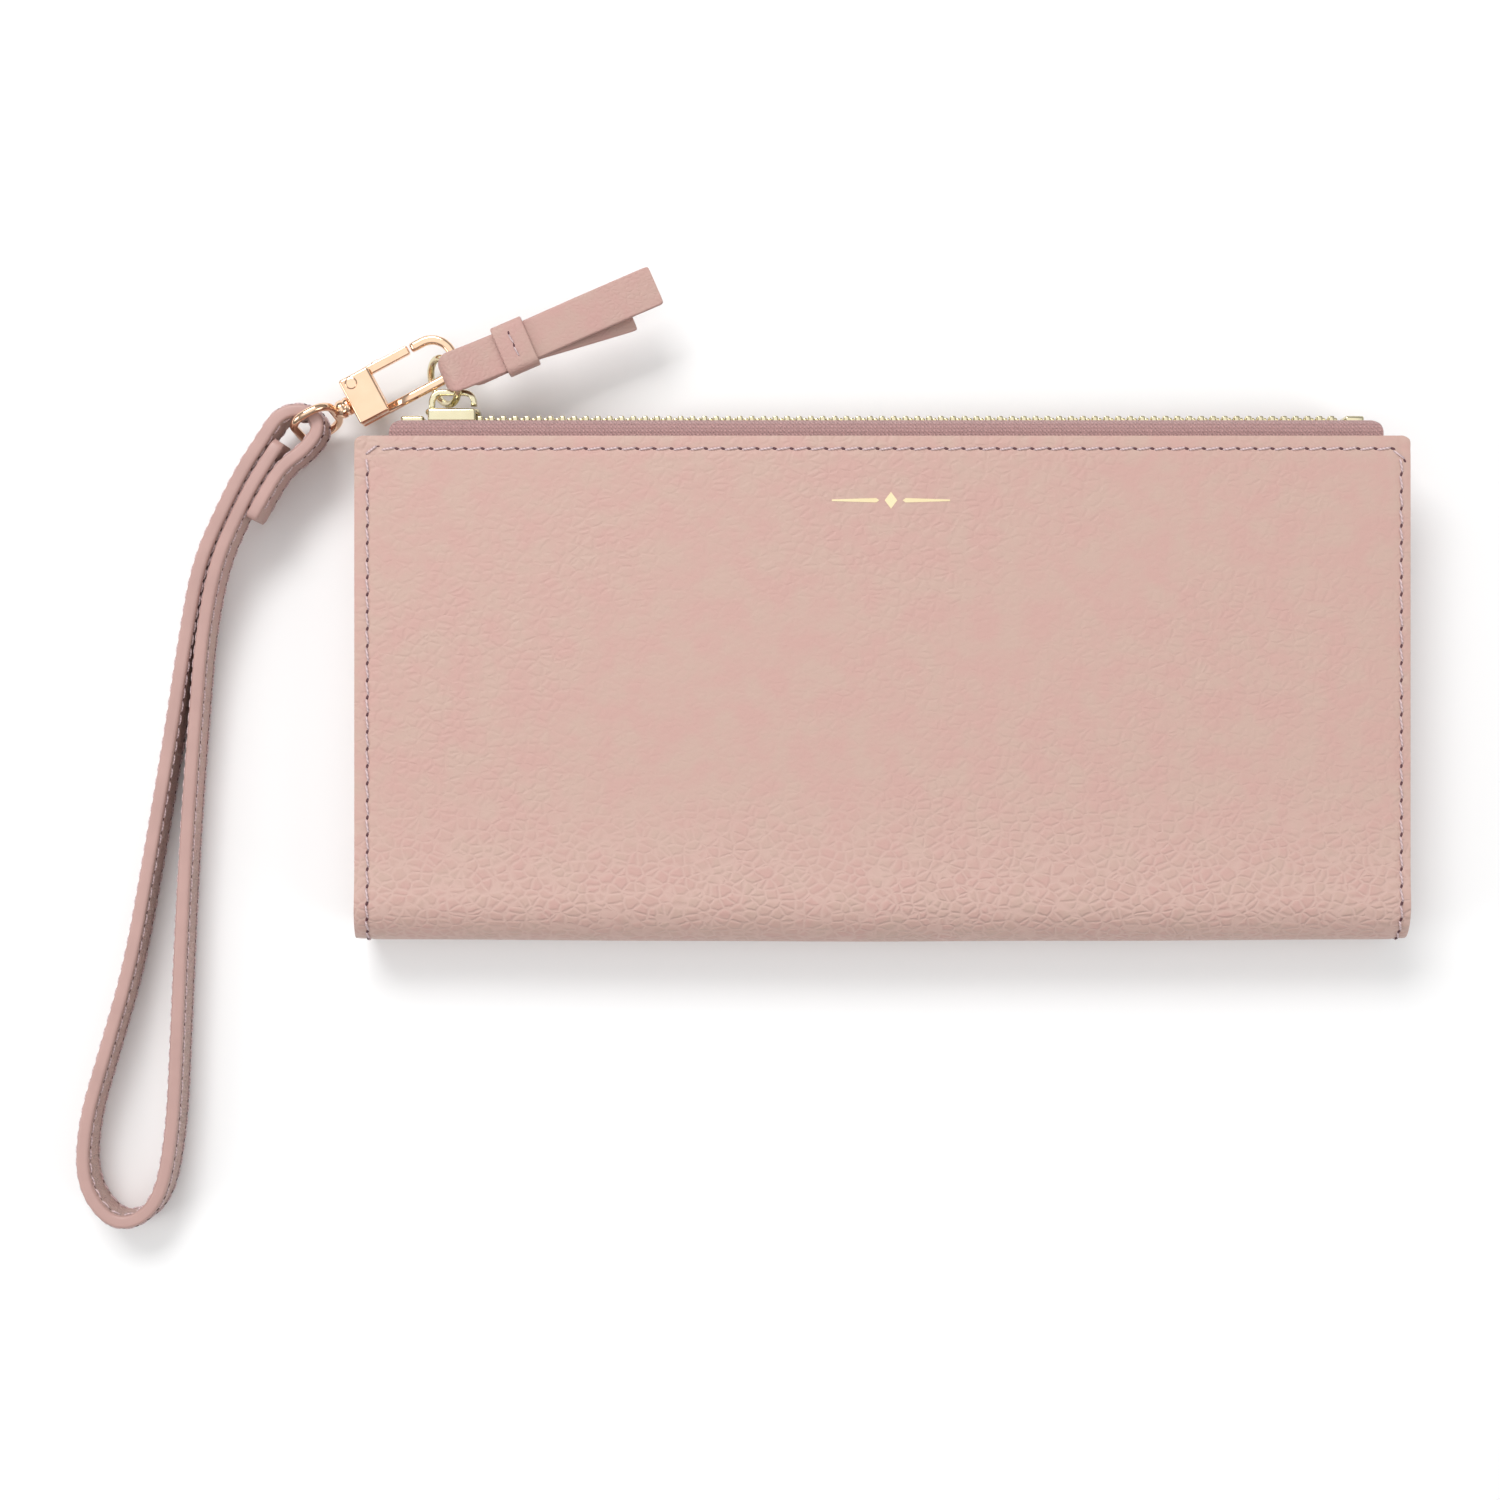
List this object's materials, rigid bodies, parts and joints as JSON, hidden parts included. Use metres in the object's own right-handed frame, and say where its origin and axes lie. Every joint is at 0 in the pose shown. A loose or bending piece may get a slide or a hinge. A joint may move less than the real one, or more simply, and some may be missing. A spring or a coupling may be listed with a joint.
{
  "type": "wristlet wallet",
  "caption": "Slim zip-top leather wallet with a leather zip pull and a wrist strap on a swivel snap hook.",
  "frame": {"origin": "centre of the back panel's outer face, which the wallet lies on", "axes": "+X along the zip towards its end stop, +Y out of the zipped mouth, +Z out of the front panel"},
  "size_m": [0.255, 0.1846, 0.017],
  "materials": {
    "wallet_leather": "pebbled, satin",
    "pull_leather": "fine grain, satin",
    "strap_leather": "painted edges, satin",
    "lining": "woven",
    "zip_tape": "woven",
    "zip_metal": "polished pale gold",
    "clasp_metal": "polished rose gold"
  },
  "bodies": {
    "pouch": {"front_panel": "wallet_leather", "back_panel": "wallet_leather", "bottom_fold": "wallet_leather", "lining_front": "lining", "lining_back": "lining", "divider": "lining", "card_slots_left": "lining", "card_slots_right": "lining", "gusset_left": "lining", "gusset_right": "lining", "zip_tape_front": "zip_tape", "zip_tape_back": "zip_tape", "zip_teeth_front": "zip_metal", "zip_teeth_back": "zip_metal", "zip_top_stop": "zip_metal", "zip_end_stop": "zip_metal"},
    "slider": {"slider_body": "zip_metal", "slider_bridge": "zip_metal"},
    "ring": {"jump_ring": "zip_metal"},
    "pull": {"pull_strip": "pull_leather", "pull_keeper": "pull_leather"},
    "clasp": {"clasp_body": "clasp_metal", "clasp_hook": "clasp_metal", "gate_pin": "clasp_metal", "gate_spring": "clasp_metal"},
    "gate": {"clasp_gate": "clasp_metal"},
    "eye": {"swivel_eye": "clasp_metal"},
    "strap": {"wrist_strap": "strap_leather"}
  },
  "joints": [
    {"name": "zip_slide", "type": "slide", "parent": "pouch", "child": "slider", "axis": [1, 0, 0], "range_m": [0, 0.1655]},
    {"name": "ring_swing", "type": "hinge", "parent": "slider", "child": "ring", "pos_m": [-0.0823, 0.05535, 0.0085], "axis": [0, 0, 1], "range_deg": [-8, 2]},
    {"name": "pull_flip", "type": "hinge", "parent": "ring", "child": "pull", "pos_m": [-0.08153, 0.06051, 0.01214], "axis": [0.3987, -0.9171, 0], "range_deg": [-6, 65]},
    {"name": "clasp_swing", "type": "hinge", "parent": "ring", "child": "clasp", "pos_m": [-0.08567, 0.0637, 0.0085], "axis": [0, 0, 1], "range_deg": [-140, 0]},
    {"name": "gate_open", "type": "hinge", "parent": "clasp", "child": "gate", "pos_m": [-0.10161, 0.05884, 0.0085], "axis": [0, 0, -1], "range_deg": [0, 18], "stiffness_Nm_per_rad": 0.002, "springref_deg": -17.19},
    {"name": "eye_swivel", "type": "hinge", "parent": "clasp", "child": "eye", "pos_m": [-0.10196, 0.05503, 0.0085], "axis": [-0.8829, -0.4695, 0], "continuous": true},
    {"name": "strap_swing", "type": "hinge", "parent": "eye", "child": "strap", "pos_m": [-0.11212, 0.04963, 0.0085], "axis": [-0.1136, 0.2136, 0.9703], "range_deg": [-6, 4]}
  ],
  "couplings": [
    {"joint": "clasp_swing", "follows": "zip_slide", "rad_per_m": -14.764}
  ]
}
